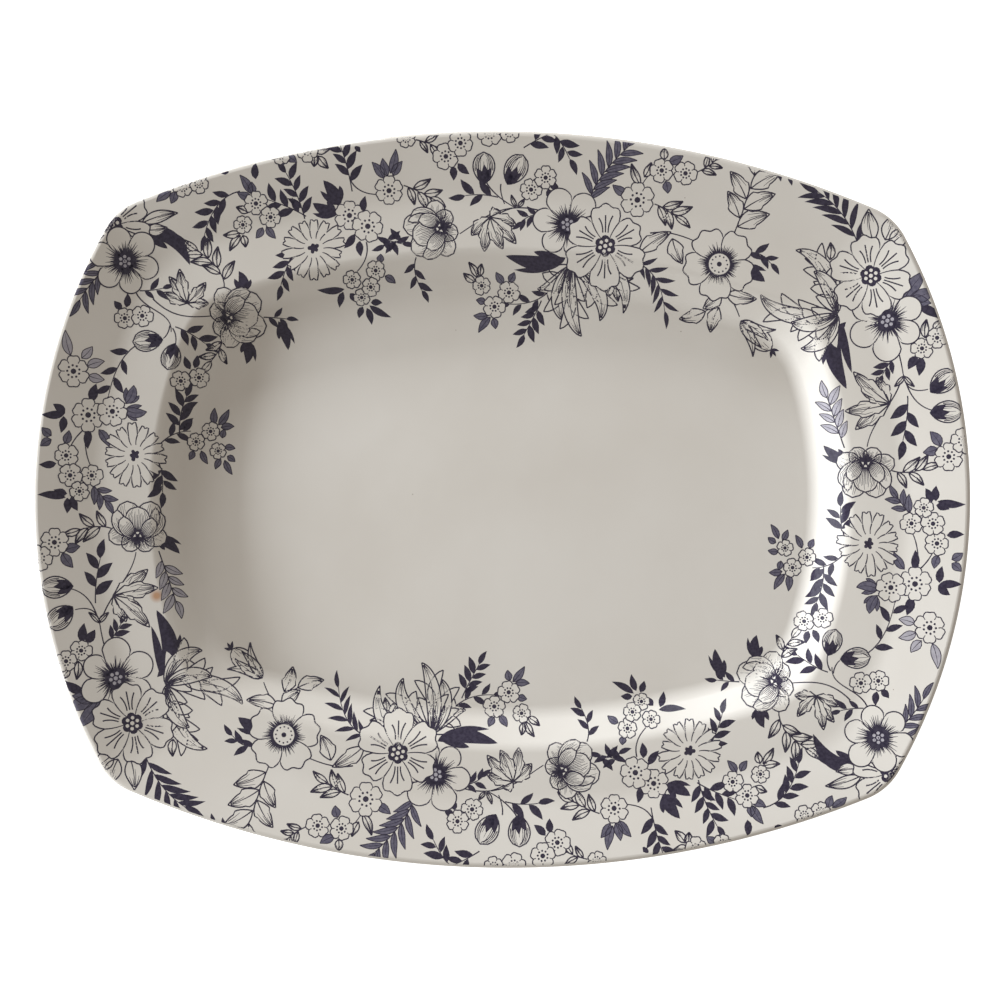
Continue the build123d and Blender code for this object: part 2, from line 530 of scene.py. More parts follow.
class Sheet:
    """A piece of tissue, with one bmesh for each ink."""

    def __init__(self):
        self.inks = {ink: bmesh.new() for ink in FINISHES}

    def patch(self, ink, level, left, right, rows, columns=1):
        """Ink between two curves."""
        grid = bmesh.ops.create_grid(self.inks[ink], x_segments=rows, y_segments=columns,
                                     size=0.5)
        for vert in grid["verts"]:
            along, across = vert.co.x + 0.5, vert.co.y + 0.5
            vert.co = left(along).lerp(right(along), across).to_3d()
            vert.co.z = level

    def stroke(self, path, width, level, rows, ends=(1.0, 1.0)):
        """A line along a curve, with its width at each end as a share."""
        def half(share):
            return width / 2 * (ends[0] + (ends[1] - ends[0]) * share)
        self.patch("line_ink", level, beside(path, half),
                   beside(path, lambda share: -half(share)), rows)

    def dot(self, centre, radius, ink="line_ink", level=4, sides=8):
        """A round dot."""
        spot = bmesh.ops.create_circle(self.inks[ink], cap_ends=True, segments=sides,
                                       radius=radius)
        for vert in spot["verts"]:
            vert.co += Vector((centre[0], centre[1], level))

    def disc(self, rim, ink, level, rings, sides):
        """Ink inside a closed rim, in rings round the middle."""
        self.patch(ink, level, lambda share: Vector((0, 0)), rim, sides, rings)


# %% [markdown]
# ### Leaves and petals
# Nearly every leaf and petal is a blade: a spine, and a width that swells and closes along it.
# Fullness moves the widest place towards the tip, roundness blunts the ends, and teeth nick the
# margin. A blade can be printed solid, or be a white reserve with an outline, a midrib and
# shading lines that run in from the tip or the base, as an engraver's burin leaves them.

# %% Blades
def margin(width, fullness=0.8, roundness=1.0, teeth=0, bite=0.25):
    """Half the width of a blade, as a function of the place along it."""
    def at(share):
        swell = math.sin(math.pi * min(max(share, 0), 1) ** fullness)
        nick = 1 - bite * (1 - (share * teeth) % 1) if teeth and share < 0.999 else 1
        return width / 2 * max(swell, 0) ** roundness * nick
    return at


def blade(sheet, spine, width, style="dark", level=1, fullness=0.8, roundness=1.0, teeth=0,
          bite=0.25, hatch=0, hatch_from="tip", length=8.0):
    """A leaf or petal on its spine, printed solid or drawn in outline."""
    half = margin(width, fullness, roundness, teeth, bite)
    left, right = beside(spine, half), beside(spine, lambda share: -half(share))
    rows = max(teeth * 4, round(length / ROW), 5)
    if style == "dark":
        sheet.patch("dark_ink", level, left, right, rows, 2)
        return
    ground = {"open": "reserve", "mid": "mid_wash", "pale": "pale_wash"}[style]
    sheet.patch(ground, level, left, right, rows, 2)
    weight = LINE if style == "open" else HAIR
    sheet.stroke(left, weight, level + 1, rows)
    sheet.stroke(right, weight, level + 1, rows)
    if roundness > 0.7:
        sheet.stroke(part_of(spine, 0, 0.85), weight, level + 1, 4, ends=(1, 0.4))
    for line in range(hatch):
        side = (line + 0.5) / hatch * 1.7 - 0.85
        track = beside(spine, lambda share: half(share) * side)
        reach = 0.28 + 0.3 * chance.random()
        start, end = (0.92, 0.92 - reach) if hatch_from == "tip" else (0.1, 0.35 + reach)
        sheet.stroke(part_of(track, start, end), HAIR, level + 1, 3, ends=(1.15, 0.4))


def leaf(sheet, base, tip, width, style="dark", sag=0.12, level=1, **more):
    """A leaf from its base to its tip, with a spine that sags to one side."""
    base, tip = Vector(base), Vector(tip)
    along = tip - base
    middle = base.lerp(tip, 0.5) + Vector((-along.y, along.x)) * sag
    blade(sheet, curve(base, middle, tip), width, style, level, length=along.length, **more)


def sprig(*blades, width=2.6, style="dark", teeth=0):
    """Single leaves, each from its base to its tip."""
    sheet = Sheet()
    for number, (base, tip) in enumerate(blades):
        leaf(sheet, base, tip, width, style, 0.1 * (-1) ** number, teeth=teeth,
             hatch=4 if style == "open" else 0)
    return sheet


def twig(points, size, count, style="dark", end_leaf=True, first=0.2, slim=0.38, fan=44,
         teeth=0):
    """A stem with leaves on alternate sides."""
    sheet = Sheet()
    path = curve(*points)
    sheet.stroke(path, RIB, 0, 8, ends=(1, 0.6))
    for number in range(count):
        share = first + (0.97 - first) * number / count
        way = heading(path, share)
        side = 1 if number % 2 else -1
        lean = math.atan2(way.y, way.x) + side * math.radians(fan + chance.uniform(-8, 8))
        reach = size * chance.uniform(1.05, 1.35)
        start = path(share)
        leaf(sheet, start + polar(lean, 0.3), start + polar(lean, reach), reach * slim, style,
             sag=-side * 0.1, level=1, hatch=4 if style == "open" else 0, teeth=teeth)
    if end_leaf:
        way = heading(path, 1)
        leaf(sheet, path(1), path(1) + way * size * 1.1, size * slim * 1.1, style,
             hatch=4 if style == "open" else 0, teeth=teeth)
    return sheet


def fern(points, size, pairs, style="mid", slim=0.25):
    """A close pinnate leaf: pairs of leaflets along a rib."""
    sheet = Sheet()
    path, fan = curve(*points), math.radians(42)
    sheet.stroke(path, RIB, 2, 10, ends=(1, 0.5))
    for number in range(pairs):
        share = 0.12 + 0.84 * number / pairs
        way = heading(path, share)
        reach = size * (0.7 + 0.35 * math.sin(math.pi * (share * 0.75 + 0.15)))
        for side in (-1, 1):
            lean = math.atan2(way.y, way.x) + side * fan
            start = path(min(share + (0.07 if side > 0 else 0), 1))
            leaf(sheet, start, start + polar(lean, reach), reach * slim, style, sag=-side * 0.12,
                 level=1)
    leaf(sheet, path(0.97), path(1) + heading(path, 1) * size * 0.8, size * slim, style)
    return sheet


def acanthus(*points, width=7.0, style="dark"):
    """A solid leaf that ends in three points."""
    sheet = Sheet()
    path = curve(*points)
    length = (path(1) - path(0)).length
    blade(sheet, path, width * 0.68, style, 3, 0.9, 0.75, length=length)
    for side in (-1, 1):
        tip = beside(path, lambda share: side * width * 0.5)(0.72 + 0.12 * side)
        bulge = beside(path, lambda share: side * width * 0.42)(0.4)
        blade(sheet, curve(path(0.05), bulge, tip), width * 0.34, style, 1, 0.9, 0.8,
              length=length * 0.6)
    return sheet


def plumes(*tips, width=6.0):
    """Feathered leaves that curl out from one root, each with pointed side lobes."""
    sheet = Sheet()
    for number, (tip, curl) in enumerate(tips):
        tip = Vector(tip)
        across = Vector((-tip.y, tip.x))
        spine = curve((0, 0), tip * 0.3 + across * curl * 1.5,
                      tip * 0.8 + across * curl * 1.8, tip)
        level = 1 + 3 * number
        for side, share in ((-1, 0.5), (1, 0.5), (-1, 0.22), (1, 0.22)):
            lobe = beside(spine, lambda place: side * width * 0.68)(share + 0.26)
            leaf(sheet, spine(share - 0.2), lobe, width * 0.5, "open", -side * 0.25, level,
                 fullness=1.0, roundness=0.7)
        blade(sheet, spine, width * 0.66, "open", level + 1, 0.9, 0.8, length=tip.length)
        for side in (-0.6, -0.25, 0.25, 0.6):
            track = beside(spine, lambda share: side * margin(width * 0.6, 0.9)(share))
            sheet.stroke(part_of(track, 0.05, 0.55 - 0.2 * abs(side)), HAIR, level + 2, 6,
                         ends=(1.9, 0.3))
            sheet.stroke(part_of(track, 0.95, 0.8 - 0.1 * abs(side)), HAIR, level + 2, 2,
                         ends=(1.0, 0.3))
    return sheet


def lobed_leaf(*tips, width=5.5):
    """An outlined leaf of several toothed lobes from one root."""
    sheet = Sheet()
    for number, tip in enumerate(tips):
        leaf(sheet, (0, 0), tip, width, "open", sag=0.06 * (-1) ** number, level=1 + 2 * number,
             fullness=1.0, teeth=3, bite=0.33, hatch=4)
        tip = Vector(tip)
        sheet.stroke(curve(tip * 0.45, tip * 0.7 + Vector((-tip.y, tip.x)) * 0.12), HAIR,
                     2 + 2 * number, 3, ends=(1, 0.2))
    return sheet


# %% [markdown]
# ### Flower heads
# An open flower is one wavy rim. Its radius swells once for each petal and dips between them, and
# a smaller ripple frills each petal's edge. The rim gives both the white reserve inside it and
# the outline on it. Lines from the dips to the heart part the petals.

# %% Rims, hearts and hairs
def petal_rim(petals, radius, dip=0.25, ripples=2, frill=0.05, roundness=0.5, uneven=0.05):
    """The rim of an open flower, once round as the share goes from 0 to 1."""
    sizes = [radius * (1 + chance.uniform(-uneven, uneven)) for _ in range(petals)]

    def at(share):
        phase = share * petals
        petal, place = int(phase) % petals, phase % 1
        swell = math.sin(math.pi * place) ** roundness if place > 0 else 0
        wave = frill * math.sin(math.pi * ripples * place) ** 2 * (1 if swell else 0)
        return polar(share * math.tau, sizes[petal] * (1 - dip * (1 - swell) - frill + wave))
    return at


def flower_head(sheet, rim, petals, rings, heart, steps=16):
    """The reserve, outline and petal partings of an open flower."""
    sheet.disc(rim, "reserve", 4, rings, petals * steps)
    sheet.stroke(rim, LINE, 5, petals * steps)
    for petal in range(petals):
        angle = petal / petals * math.tau
        dip = rim(petal / petals)
        inner = polar(angle, heart)
        bow = Vector((-dip.y, dip.x)) * 0.06
        sheet.stroke(curve(dip, dip.lerp(inner, 0.5) + bow, inner), LINE, 5, 5, ends=(1, 0.6))


def hairs(sheet, inner, outer, count, level, weight):
    """Fine strokes of uneven reach that run out from a flower's heart."""
    spread = 0.6            # share of the reach that is left to chance
    for hair in range(count):
        angle = (hair + chance.uniform(-0.3, 0.3)) / count * math.tau
        reach = inner + (outer - inner) * (1 - spread * chance.random())
        sheet.stroke(curve(polar(angle, inner), polar(angle + 0.04, reach)), weight, level, 3,
                     ends=(1.6, 0.2))


def ring_of_dots(sheet, count, radius, dot, ink="line_ink", level=6, middle=True):
    for number in range(count):
        sheet.dot(polar(number / count * math.tau + 0.3, radius), dot, ink, level, 6)
    if middle:
        sheet.dot((0, 0), dot * 1.15, ink, level, 6)


# %% Open flowers
def anemone(radius):
    """Round overlapping petals with a dark, hairy heart and seven light dots."""
    sheet = Sheet()
    flower_head(sheet, petal_rim(6, radius, 0.34, 1, 0.03, 0.55, 0.09), 6, 9, radius * 0.3)
    sheet.disc(lambda share: polar(share * math.tau, radius * 0.25), "dark_ink", 6, 3, 20)
    hairs(sheet, radius * 0.2, radius * 0.66, 62, 6, 0.46)
    ring_of_dots(sheet, 6, radius * 0.13, radius * 0.05, "pale_wash", 7)
    return sheet


def striped_flower(radius):
    """Notched petals with a few curved stripes each, round a six-sided dark heart."""
    sheet = Sheet()
    petals = 6
    rim = petal_rim(petals, radius, 0.3, 3, 0.07, 0.5, 0.06)
    flower_head(sheet, rim, petals, 10, radius * 0.2)
    for petal in range(petals):
        middle = (petal + 0.5) / petals * math.tau
        for stripe in (-1, 0, 1):
            angle = middle + stripe * 0.24
            long = radius * (0.76 - 0.06 * abs(stripe) + chance.uniform(-0.04, 0.04))
            sheet.stroke(curve(polar(middle + stripe * 0.2, radius * 0.32),
                               polar(middle + stripe * 0.11, radius * 0.52), polar(angle, long)),
                         0.7, 5, 6, ends=(0.7, 0.8))
    sheet.disc(petal_rim(6, radius * 0.26, 0.2, 1, 0, 0.8, 0), "dark_ink", 6, 3, 24)
    ring_of_dots(sheet, 6, radius * 0.13, radius * 0.045, "reserve", 7)
    return sheet


def dog_rose(radius):
    """Five wavy petals round a light disc ringed with dots, with dense dark shading round it."""
    sheet = Sheet()
    flower_head(sheet, petal_rim(5, radius, 0.22, 3, 0.08, 0.5, 0.05), 5, 9, radius * 0.35,
                steps=20)
    hairs(sheet, radius * 0.3, radius * 0.62, 76, 5, 0.42)
    sheet.disc(lambda share: polar(share * math.tau, radius * 0.31), "reserve", 6, 3, 20)
    sheet.stroke(lambda share: polar(share * math.tau, radius * 0.31), LINE, 7, 24)
    ring_of_dots(sheet, 12, radius * 0.22, radius * 0.026, level=7)
    sheet.dot((0, 0), radius * 0.07, level=7, sides=10)
    return sheet


def daisy(radius):
    """Many narrow toothed petals round a small ragged heart."""
    sheet = Sheet()
    flower_head(sheet, petal_rim(14, radius, 0.3, 2, 0.12, 0.7, 0.08), 14, 8, radius * 0.3,
                steps=8)
    sheet.disc(petal_rim(5, radius * 0.17, 0.4, 1, 0, 0.8, 0.2), "dark_ink", 6, 2, 20)
    return sheet


def blossom(radius, petals=5):
    """A small scalloped flower with a dot and a ring of dots."""
    sheet = Sheet()
    rim = petal_rim(petals, radius, 0.16, 2, 0.07, 0.6, 0.05)
    sheet.disc(rim, "reserve", 4, max(2, round(radius / 1.4)), petals * 8)
    sheet.stroke(rim, 0.46, 5, petals * 8)
    for petal in range(petals):
        sheet.stroke(curve(rim(petal / petals), rim(petal / petals) * 0.72), HAIR, 5, 2)
    ring_of_dots(sheet, 9, radius * 0.38, 0.2 + radius * 0.045, level=6, middle=False)
    sheet.dot((0, 0), 0.3 + radius * 0.13, level=6, sides=8)
    return sheet


# %% [markdown]
# ### Peonies and buds
# A half-open peony is a stack of petals from back to front: a wide saucer, petals at the sides,
# a back petal, and a cup in front, each with shading lines at its root. The stack's order is the
# order of its levels. It is drawn opening upwards, and turned when it is pressed.

# %% Peonies and buds
def peony(radius):
    """A half-open flower, drawn 14 mm in radius and scaled."""
    sheet = Sheet()
    unit = radius / 14

    def petal(base, tip, width, level, sag, hatch, teeth=0):
        leaf(sheet, Vector(base) * unit, Vector(tip) * unit, width * unit, "open", sag, level,
             fullness=1.2, roundness=0.5, teeth=teeth, bite=0.08, hatch=hatch, hatch_from="base")

    for tip, width, sag in [((-13, -6), 10, -0.12), ((12.5, -7), 10, 0.12), ((-5, -11), 9, -0.05),
                            ((5.5, -11), 9, 0.05)]:
        petal((0, -2), tip, width, 4, sag, teeth=3, hatch=13)
    petal((-1, -3), (-5, 12), 12, 6, 0.12, teeth=3, hatch=9)
    petal((1, -3), (6, 12), 12, 8, -0.12, teeth=3, hatch=9)
    petal((-2, -4), (-9.5, 8), 6.5, 10, 0.35, hatch=7)
    petal((2, -4), (10, 7), 6.5, 10, -0.35, hatch=7)
    petal((2, -4), (8, 9), 4.5, 12, -0.28, hatch=6)
    petal((0, -3.5), (0, 9.5), 12, 14, 0.02, teeth=3, hatch=13)
    petal((-0.5, -4.5), (-6.5, 5), 6.5, 16, 0.3, hatch=8)
    petal((0.5, -4.5), (6.5, 4.5), 6.5, 16, -0.3, hatch=8)
    root = Vector((0, -3.4 * unit))
    for hair in range(36):
        angle = math.radians(185 + 170 * hair / 35)
        reach = radius * chance.uniform(0.25, 0.52)
        sheet.stroke(curve(root + polar(angle, 0.4), root + polar(angle, reach)), 0.42, 6, 3,
                     ends=(1.6, 0.2))
    return sheet


def bud(length):
    """A closed bud with shaded sides in a three-pointed calyx. It points along X."""
    sheet = Sheet()
    half = length / 2
    blade(sheet, curve((-half, 0), (half, 0)), length * 0.72, "open", 4, 1.15, 0.5, hatch=5,
          length=length, hatch_from="base")
    for side in (-1, 1):
        for line in range(3):
            lean = side * (0.32 - 0.06 * line) * length
            sheet.stroke(curve((-half * 0.2 + line * 0.3, lean * 0.9), (half * 0.55, lean),
                               (half * (0.95 - 0.05 * line), lean * 0.25)), HAIR, 5, 5,
                         ends=(1.2, 0.3))
    sheet.stroke(curve((-half * 0.5, length * 0.1), (half * 0.3, length * 0.3), (half * 0.9, 0)),
                 HAIR, 5, 6)
    for tip in ((0.0, 0.26), (0.12, 0.0), (0.0, -0.26)):
        leaf(sheet, (-half * 1.1, 0), (tip[0] * length, tip[1] * length), length * 0.26, "dark",
             0.1 * (1 if tip[1] < 0 else -1), 6)
    return sheet


def fuchsia(length):
    """A hanging bell with pointed outer petals. It points along X."""
    sheet = Sheet()
    half = length / 2
    blade(sheet, curve((-half * 0.4, 0), (half, 0)), length * 0.46, "open", 4, 1.1, 0.6, hatch=5,
          length=length)
    for tip, sag in (((0.25, 0.42), -0.2), ((0.3, -0.42), 0.2), ((0.3, 0.12), 0.1),
                     ((0.3, -0.12), -0.1)):
        leaf(sheet, (-half, 0), (tip[0] * length, tip[1] * length), length * 0.22, "open", sag, 6,
             fullness=0.7, hatch=1)
    for angle in (-50, -10, 35):
        leaf(sheet, (half, 0), Vector((half, 0)) + polar(math.radians(angle), 3.2), 1.2, "dark",
             level=3)
    return sheet


def stem(*points, weight=0.55):
    sheet = Sheet()
    sheet.stroke(curve(*points), weight, 0, 14, ends=(1, 0.7))
    return sheet


# %% [markdown]
# ## Laying the border out
# Each sheet is pressed onto the border where its flower grows. A flower's place is its middle, in
# millimetres from the platter's middle, and its turn is in degrees. Stems and twigs are drawn
# where they lie. Flowers in front get a higher tier. What grows near one corner grows again near
# the opposite one, because every sheet is pressed a second time, turned half round.

# %% Pressing
TIER = 20                   # levels between one tier of flowers and the next
flat_border = {(ink, half): bmesh.new() for ink in FINISHES for half in "ab"}


def press(sheet, place=(0, 0), turn=0.0, tier=0):
    """Puts a sheet on the border, and again turned half round."""
    lie = Matrix.Translation((place[0], place[1], tier * TIER)) @ Matrix.Rotation(
        math.radians(turn), 4, "Z")
    for half_round in (0, math.pi):
        for ink, drawing in sheet.inks.items():
            if not drawing.verts:
                continue
            mesh = bpy.data.meshes.new("tissue")
            drawing.to_mesh(mesh)
            mesh.transform(Matrix.Rotation(half_round, 4, "Z") @ lie)
            middle = sum(vert.co.x for vert in mesh.vertices) / len(mesh.vertices)
            flat_border[ink, "a" if middle < 0 else "b"].from_mesh(mesh)
            bpy.data.meshes.remove(mesh)
    for drawing in sheet.inks.values():
        drawing.free()


def blossoms(*rows):
    """Presses small flowers: a row is middle (x, y), radius, turn, tier and perhaps petals."""
    for x, y, radius, turn, tier, *petals in rows:
        press(blossom(radius, *petals), (x, y), turn, tier)


# %% Far left corner
press(striped_flower(15.5), (-148.5, 102.5), 10, 2)
press(anemone(13.5), (-144, 89), 15, 3)
press(sprig(((-137.5, 103.5), (-124, 107.5)), ((-136, 101), (-128, 102)), width=4.5,
            style="open"), tier=1)
press(acanthus((-138.5, 98.5), (-130, 102.5), (-123.5, 98), (-119.5, 88), width=8))
press(fern([(-151.5, 85.5), (-156, 82), (-161, 73.5)], 8.5, 3))
press(fern([(-152, 88), (-156.5, 88.5), (-160.5, 91)], 7, 2))
press(twig([(-138.5, 78), (-134.5, 78), (-130, 79)], 4.5, 3))
press(lobed_leaf((-9, 4), (-7, 10), (8, 0), (7, 8), (-3, 13), width=5.4), (-120.5, 73.5))
press(twig([(-106.5, 78.5), (-105.5, 85.5), (-112.5, 90.5), (-116.5, 93.5)], 6.5, 6, "open"))
press(peony(12), (-102, 69), -80, 2)
press(acanthus((-100.5, 78), (-97.5, 81), (-101, 86), width=6))
press(acanthus((-86.5, 67.5), (-83, 63), (-82.5, 56.5), width=5.5))
press(acanthus((-99, 60.5), (-96.5, 56.5), (-98.5, 51), width=6))
press(twig([(-92, 69), (-88, 69), (-83.5, 68.5)], 4.5, 3))
press(twig([(-107.5, 61.5), (-108, 56.5), (-112, 52)], 6, 3, "open"))
press(bud(11), (-135.5, 59), 185, 2)
press(bud(10), (-126.5, 53), -105, 2)
blossoms((-144, 67.5, 4.2, 0, 1), (-137.5, 68.5, 4.4, 30, 2))
press(twig([(-125, 64.5), (-120, 63), (-114, 58.5)], 5.5, 4))

# %% Left side
blossoms((-163, 47, 6, 0, 1, 6))
press(twig([(-139.5, 57.5), (-146.5, 52.5), (-148.5, 44.5), (-150, 38)], 5.8, 5, first=0.15))
blossoms((-123, 44, 3.9, 10, 1), (-116.5, 45.5, 3.9, 40, 1))
press(twig([(-123.5, 23.5), (-124, 31), (-121, 38)], 5.8, 7, first=0.1))
blossoms((-157.5, 30.5, 6.4, 0, 1, 6), (-148.5, 32, 5.8, 20, 2, 6))
press(acanthus((-143.5, 35), (-140.5, 38), (-140.5, 42), width=5.5, style="mid"))
press(acanthus((-144, 33), (-140, 30.5), (-135.5, 32), width=5.5, style="mid"))
press(daisy(12.8), (-140, 15.5), 5, 1)
blossoms((-165.5, 15, 4.6, 0, 1), (-164, 7.5, 4.6, 20, 2), (-156, 7.5, 4.3, 45, 1),
          (-160.5, 1.5, 3.8, 10, 3))
press(twig([(-156.5, 5), (-153.5, 2), (-151, -2)], 5.6, 4, "mid"))
press(twig([(-131.5, 14.5), (-129, 8.5), (-129.5, 1.5)], 5.8, 5))
press(twig([(-131, 19), (-126.5, 25), (-119.5, 25)], 5.2, 4, end_leaf=False))
blossoms((-117.5, 21, 3.6, 0, 1), (-112, 25, 3.7, 30, 1), (-109, 17.5, 3.2, 10, 1))

# %% Far side, left half
blossoms((-94.5, 111.5, 4.6, 0, 1, 6), (-89, 106.5, 4.2, 20, 2), (-99.5, 103.5, 3.6, 0, 2))
press(sprig(((-100.5, 100.5), (-107, 99.5)), ((-100.5, 99.5), (-104.5, 93.5)),
            ((-99.5, 99.5), (-98.5, 95)), ((-97.5, 108), (-102, 110)), width=2.8, style="open"))
press(twig([(-100.5, 116), (-107.5, 114.5), (-112, 108), (-114, 99.5)], 6, 8))
press(twig([(-76, 106), (-78, 114.5), (-83, 123)], 5.6, 7, first=0.1))
press(twig([(-75.5, 107), (-81.5, 110.5), (-90, 113)], 6, 5))
press(daisy(12.3), (-72.5, 95), 0, 1)
blossoms((-59, 107.5, 5.8, 0, 1, 6), (-52, 103.5, 6.2, 20, 2, 6))
press(acanthus((-63.5, 108), (-68, 108.5), (-73, 112), width=6.5))
press(acanthus((-63, 111), (-64, 115.5), (-69, 120.5), width=7))
press(twig([(-48, 99.5), (-44, 98), (-39, 97)], 5, 4))
press(twig([(-79, 95), (-82, 91), (-85, 81)], 5.6, 6))
blossoms((-58, 83.5, 3.5, 0, 1), (-49, 87, 3.8, 15, 1), (-51, 81, 3.6, 30, 2),
          (-54.5, 77, 3.4, 5, 1))
press(twig([(-58, 116.5), (-59.5, 125.5), (-62.5, 133.5)], 6, 6, end_leaf=False))
blossoms((-122, 117, 3.8, 0, 1), (-116, 118.5, 3.8, 30, 2), (-85, 129.5, 3.8, 0, 1),
          (-75, 131.5, 4.4, 20, 1))
press(sprig(((-72.5, 130), (-72.5, 125.5)), ((-71, 129.5), (-67, 125)), ((-72, 131), (-66.5, 132)),
            width=3.2, style="open"))

# %% Far side, middle
blossoms((-44, 117, 5.6, 0, 1, 6))
press(twig([(-38.5, 119), (-34.5, 118), (-28.5, 114.5)], 6.4, 4, "open"))
blossoms((-22.5, 130, 5.0, 0, 1), (-17, 135, 5.0, 20, 2), (-37.5, 136.5, 3.8, 0, 1),
          (-6, 138.5, 4.6, 0, 1), (1.5, 139, 3.8, 30, 2))
press(twig([(-34, 136), (-30.5, 135.5), (-26, 133.5)], 5, 3, "open"))
press(bud(11.5), (-8, 126), 92, 2)
press(bud(12), (4, 125.5), 62, 2)
press(sprig(((4.5, 111.5), (2.5, 116)), ((5, 111.5), (7.5, 114.5)), width=1.6, style="open"))
press(twig([(-2.5, 115), (-8.5, 116.5), (-15, 115.5)], 6, 3))
press(peony(11.5), (-27.5, 102), 110, 2)
press(twig([(-33.5, 92), (-35.5, 87), (-31.5, 80)], 5, 4))
press(twig([(-37.5, 98), (-41, 98.5), (-45.5, 96.5)], 5, 3))
press(lobed_leaf((4, 2), (-7, -7), (10, -3), (-2, -13), (10, -10), (5, -12),
                 width=6.4), (-5.5, 107.5))
press(anemone(13.8), (24, 105), 20, 2)
press(striped_flower(16), (38.5, 97), 0, 3)
press(fern([(31.5, 111.5), (33, 120.5), (40, 128), (47.5, 135)], 9.5, 6))
press(twig([(14, 108.5), (10, 109), (6.5, 106)], 4.5, 4))
press(acanthus((23.5, 92.5), (16.5, 88.5), (10, 90.5), (0.5, 93), width=8))
press(plumes(((-13, -9), 0.12), ((-3, -21), -0.12), ((20, -18), 0.25), ((14, -10), 0.2),
             ((11, -21), 0.15), ((4, -27), -0.08), width=8.6), (26, 90))
press(sprig(((51.5, 94.5), (63.5, 102.5)), ((64, 100), (68, 90.5)), width=6.5, style="open",
            teeth=2), tier=1)
press(fern([(48, 91.5), (55.5, 90), (61, 84), (62, 72)], 7.5, 5, "dark"))
press(sprig(((43, 85.5), (39, 83)), ((43.5, 84.5), (44, 76.5)), ((44, 85), (49.5, 85)), width=3.4,
            style="open"))
blossoms((-8.5, 82, 3.6, 0, 1), (2, 79.5, 4.4, 15, 1), (-3.5, 74, 4.4, 30, 2))
press(sprig(((-11, 83.5), (-15.5, 86.5)), ((-10, 85), (-13.5, 90.5)), ((-9, 85.5), (-8.5, 90)),
            width=2.6, style="open"))
press(twig([(19, 81.5), (14, 76.5), (10, 75), (2.5, 75)], 5, 4))
press(twig([(14.5, 76.5), (12.5, 71.5), (8, 63.5)], 5.5, 7))
press(twig([(7, 133.5), (12.5, 137), (17.5, 139)], 6, 4, end_leaf=False))
press(twig([(17.5, 139.5), (21.5, 136), (24.5, 129.5)], 6, 4))
blossoms((15.5, 122.5, 4.4, 0, 2, 6), (10, 118, 4.4, 20, 1, 6))

# %% Far side, right half
blossoms((50.5, 114.5, 6.6, 0, 1, 6), (59.5, 125.5, 4.6, 0, 1), (68.5, 124.5, 4.6, 25, 1))
press(sprig(((51.5, 120), (48, 128)), ((53, 123), (55.5, 128.5)), ((60.5, 129.5), (60.5, 134)),
            width=3, style="open"))
press(twig([(57, 113), (60.5, 112), (65, 108.5)], 6.6, 4, "open", slim=0.36))
press(twig([(73, 125), (76.5, 126.5), (80, 129.5)], 5.2, 4, "open"))
press(dog_rose(13.8), (82, 90.5), 10, 2)
press(twig([(87, 101), (90.5, 109.5), (94.5, 124)], 10, 5, "open", slim=0.55, teeth=2, fan=44))
press(twig([(90.5, 94), (97, 97), (101.5, 91)], 5, 4))
press(acanthus((90, 89), (94.5, 88), (99.5, 84), width=7))
press(sprig(((83, 79.5), (76.5, 74)), ((85, 79.5), (96.5, 77.5)), ((77.5, 73), (67.5, 70)),
            ((82.5, 74.5), (79.5, 65)), width=6, style="open", teeth=2))
press(fuchsia(16), (97, 64), -43, 1)
press(twig([(101.5, 126.5), (106, 124.5), (112, 122)], 3.6, 4))

# %% Far right corner
press(fern([(135.5, 95.5), (132, 106), (126, 113.5), (118.5, 118)], 11, 5, "dark", slim=0.22))
press(striped_flower(16), (139.5, 86.5), 12, 3)
press(anemone(14.5), (146, 69.5), 0, 2)
press(sprig(((140, 99.5), (138, 111.5)), ((144.5, 100), (147.5, 110)), ((146.5, 98), (154, 103.5)),
            width=6.4, style="open"), tier=1)
press(plumes(((-16, 24), -0.15), ((-13, -13), 0.15), ((-29, 7), 0.12), ((-9, 16), -0.1),
             ((-17, -3), 0.1), width=9), (127, 72))
press(sprig(((123.5, 91), (114.5, 93)), ((124, 92.5), (124, 99)), ((123, 90.5), (120, 87)),
            width=3.2, style="open"))
press(acanthus((130.5, 69), (122, 61), (126.5, 52), (131, 43.5), width=9))
press(twig([(150, 57), (147, 54), (144.5, 49)], 5, 5))
blossoms((159, 59, 4.2, 0, 1), (164.5, 63, 4.2, 20, 2))
press(sprig(((160, 63), (160.5, 70)), ((163, 66), (166, 70)), width=3, style="open"))
press(sprig(((152.5, 48.5), (149, 44.5)), ((152.5, 48.5), (156.5, 44.5)), width=1.8, style="open"))
press(bud(11.5), (167, 46.5), 42, 2)
press(bud(11.5), (168.5, 35), 4, 1)
press(twig([(154, 41), (154.5, 34), (152.5, 24)], 7, 4, slim=0.42))
press(lobed_leaf((-5, 10), (-13, -10), (-17, -3), (-11, 5), (-14, 12), width=7), (147.5, 38))
press(twig([(130.5, 21), (127.5, 29.5), (124, 40)], 6.5, 7, "pale", fan=40))
press(peony(11.5), (138.5, 12), 180, 2)
press(acanthus((131.5, 15.5), (127.5, 17), (123, 22), width=5.5))
blossoms((169.5, 18, 5.4, 0, 1, 6), (175, 24, 5.0, 20, 2, 6))
press(twig([(148.5, 12.5), (153, 11), (160, 13)], 6.6, 4, "open"))

# %% [markdown]
# Stems and loose leaves lie flat on the clay under the flowers, so they come in two tables.

